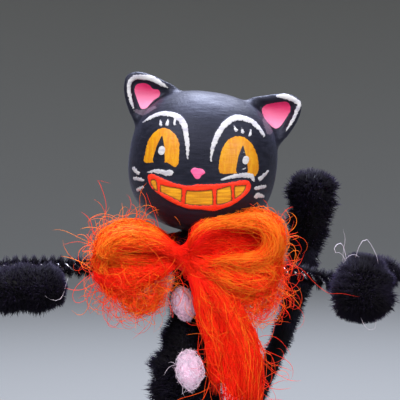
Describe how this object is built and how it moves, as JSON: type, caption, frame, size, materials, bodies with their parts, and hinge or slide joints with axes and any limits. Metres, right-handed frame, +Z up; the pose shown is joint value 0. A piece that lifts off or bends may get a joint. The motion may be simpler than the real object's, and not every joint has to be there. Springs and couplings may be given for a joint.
{
  "type": "pipe cleaner cat figure",
  "caption": "Standing Halloween cat ornament: painted clay ball head with cupped ears on bent black chenille stems, tied with a fluffy orange wool bow.",
  "frame": {"origin": "on the floor, under the middle of the figure's bounding box", "axes": "+Z up, the cat faces -Y, its own left is +X"},
  "size_m": [0.1084, 0.0582, 0.1203],
  "materials": {
    "painted_clay": "matte black paint over clay, face painted by brush in yellow, orange, pink and white",
    "black_pile": "dense black chenille pile on twisted wire, with a faint violet sheen",
    "orange_wool": "loose combed wool with stray curled fibres",
    "white_wool": "felted tuft of white wool with a pink cast"
  },
  "bodies": {
    "root": {"head": "painted_clay", "torso": "black_pile", "right_arm": "black_pile", "left_arm": "black_pile", "right_leg": "black_pile", "left_leg": "black_pile", "tail": "black_pile", "bow": "orange_wool", "upper_button": "white_wool", "lower_button": "white_wool"}
  },
  "joints": []
}
